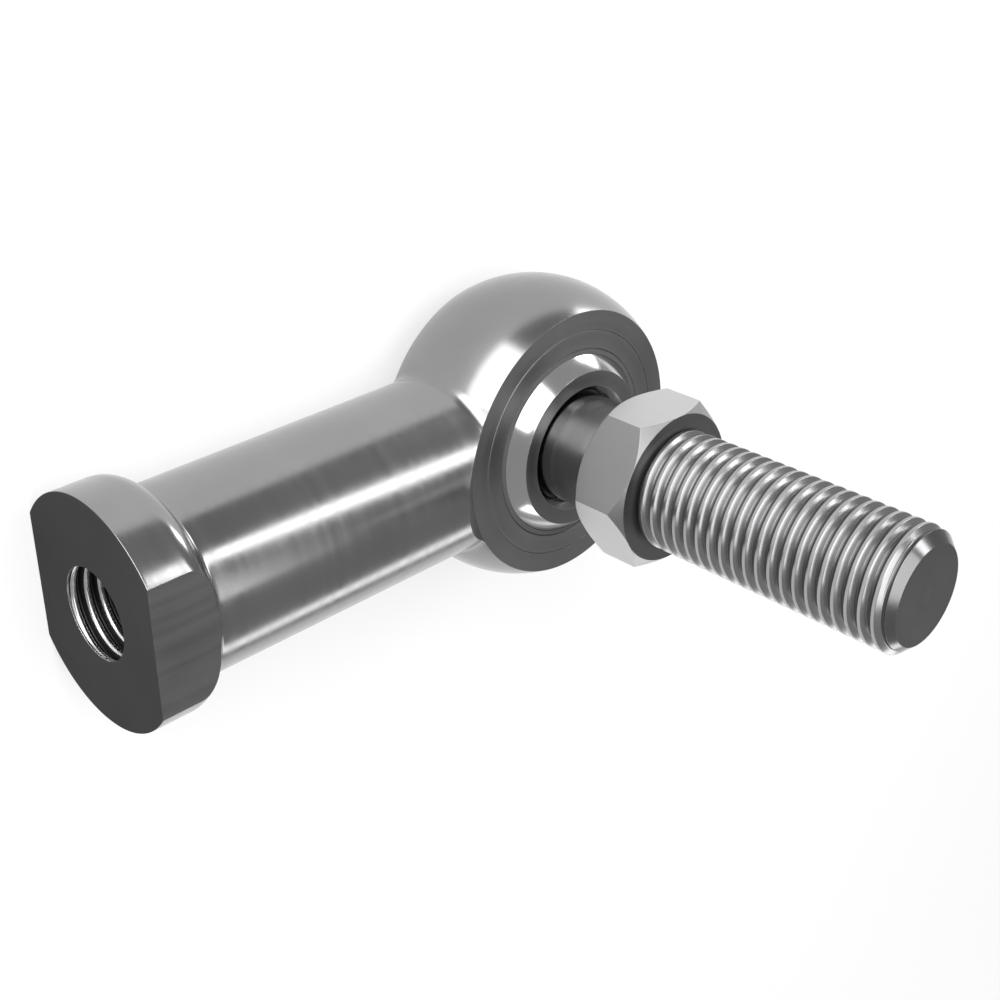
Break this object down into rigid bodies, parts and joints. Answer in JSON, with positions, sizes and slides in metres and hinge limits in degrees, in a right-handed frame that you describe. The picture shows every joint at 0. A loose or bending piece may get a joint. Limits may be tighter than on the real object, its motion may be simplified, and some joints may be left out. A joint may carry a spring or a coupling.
{
  "type": "rod end",
  "caption": "Female rod end with a threaded stud riveted into its swivelling ball, maintenance-free liner and wrench flats.",
  "frame": {"origin": "centre of the threaded hole's mouth, on the front face of the flange", "axes": "+X runs along the shank from the threaded mouth to the eye, +Z is the stud's axis and points up out of the ball, and Y completes the frame"},
  "size_m": [0.0539, 0.0252, 0.0449],
  "materials": {
    "body_steel": "polished",
    "race_steel": "ground",
    "liner": "matte",
    "ball_steel": "polished",
    "stud_steel": "polished"
  },
  "bodies": {
    "body": {"rod_body": "body_steel", "outer_race": "race_steel"},
    "liner": {"sliding_liner": "liner"},
    "ball": {"ball": "ball_steel"},
    "stud": {"stud": "stud_steel"}
  },
  "joints": [
    {"name": "swing_direction", "type": "hinge", "parent": "body", "child": "liner", "pos_m": [0.04127, 0, 0], "axis": [0, 0, 1], "continuous": true},
    {"name": "ball_tilt", "type": "hinge", "parent": "liner", "child": "ball", "pos_m": [0.04127, 0, 0], "axis": [0, 1, 0], "range_deg": [-25, 25]},
    {"name": "stud_turn", "type": "hinge", "parent": "ball", "child": "stud", "pos_m": [0.04127, 0, 0], "axis": [0, 0, 1], "continuous": true}
  ]
}
